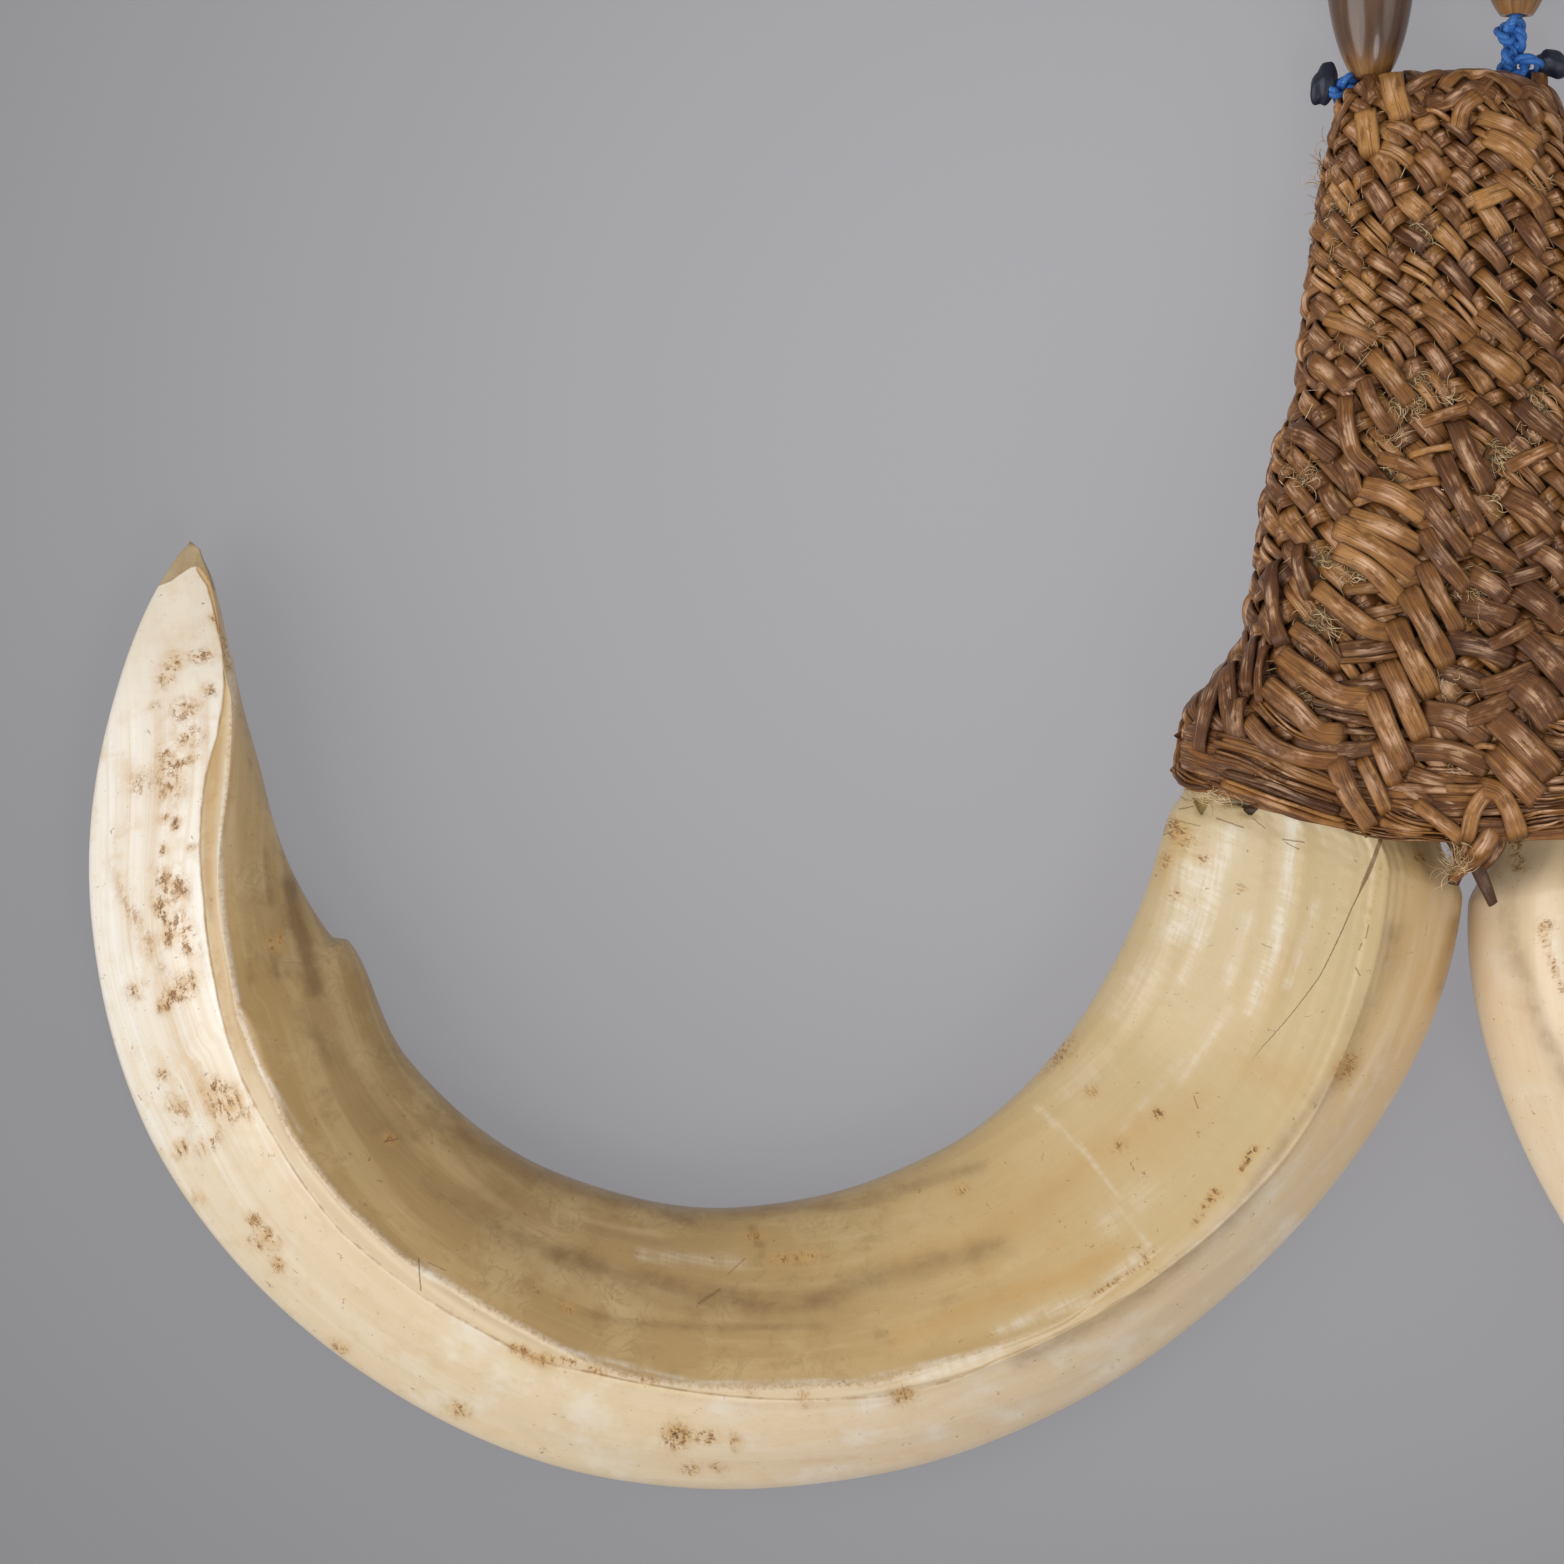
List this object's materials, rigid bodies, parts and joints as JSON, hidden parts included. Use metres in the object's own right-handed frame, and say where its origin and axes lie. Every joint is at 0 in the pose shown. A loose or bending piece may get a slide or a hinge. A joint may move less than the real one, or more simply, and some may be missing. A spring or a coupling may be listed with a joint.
{
  "type": "boar tusk ornament",
  "caption": "Boar tusk ornament: curled tusks side by side in a plaited cane cover, hung from a blue cord with long beads.",
  "frame": {"origin": "on the surface the ornament lies on, under the flat back of the plaited cover, 12 mm above the middle of its hem", "axes": "+Z out of the front of the ornament as it lies on its back, +Y towards the cord, +X from the left tusk to the right one"},
  "size_m": [0.248, 0.185, 0.0229],
  "materials": {
    "tusk": "satin",
    "cane": "satin",
    "cord": "satin",
    "bead": "gloss"
  },
  "bodies": {
    "root": {"tusk_left": "tusk", "tusk_right": "tusk", "plaited_cover": "cane", "hanging_cord": "cord", "bead_left": "bead", "bead_right": "bead"}
  },
  "joints": []
}
